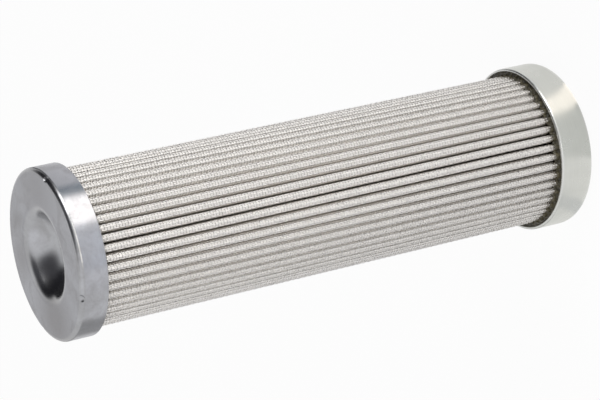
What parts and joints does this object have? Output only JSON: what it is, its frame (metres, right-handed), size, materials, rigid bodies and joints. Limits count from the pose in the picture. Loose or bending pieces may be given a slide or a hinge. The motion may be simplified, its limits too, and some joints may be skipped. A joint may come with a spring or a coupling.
{
  "type": "hydraulic filter element",
  "caption": "Pleated hydraulic filter element: layered pleats under woven wire mesh, a perforated core, a dished closed end cap and an open end cap with a sealed bore.",
  "frame": {"origin": "centre of the open end cap's end face, which the element stands on", "axes": "+Z along the element's axis, from the open end to the closed, dished end; X and Y across it"},
  "size_m": [0.0586, 0.0586, 0.1977],
  "materials": {
    "closed_cap_steel": "pressed steel, satin, slightly stained",
    "open_cap_steel": "pressed steel, light satin zinc",
    "adhesive": "cured dark epoxy, glossy where it crept up the pleats",
    "mesh_wire": "plain-woven bright wire",
    "fleece": "spun fleece",
    "glass_fibre": "matt glass-fibre paper",
    "fine_wire": "fine woven wire",
    "core_steel": "perforated sheet, mill finish",
    "seal_rubber": "black nitrile rubber",
    "retainer_steel": "turned steel"
  },
  "bodies": {
    "root": {"closed_end_cap": "closed_cap_steel", "open_end_cap": "open_cap_steel", "closed_end_adhesive": "adhesive", "open_end_adhesive": "adhesive", "outer_mesh": "mesh_wire", "outer_fleece": "fleece", "prefilter_layer": "glass_fibre", "main_filter_layer": "glass_fibre", "inner_fleece": "fleece", "inner_mesh": "fine_wire", "side_seam": "adhesive", "core_tube": "core_steel", "seal_ring": "seal_rubber", "seal_retainer": "retainer_steel"}
  },
  "joints": []
}
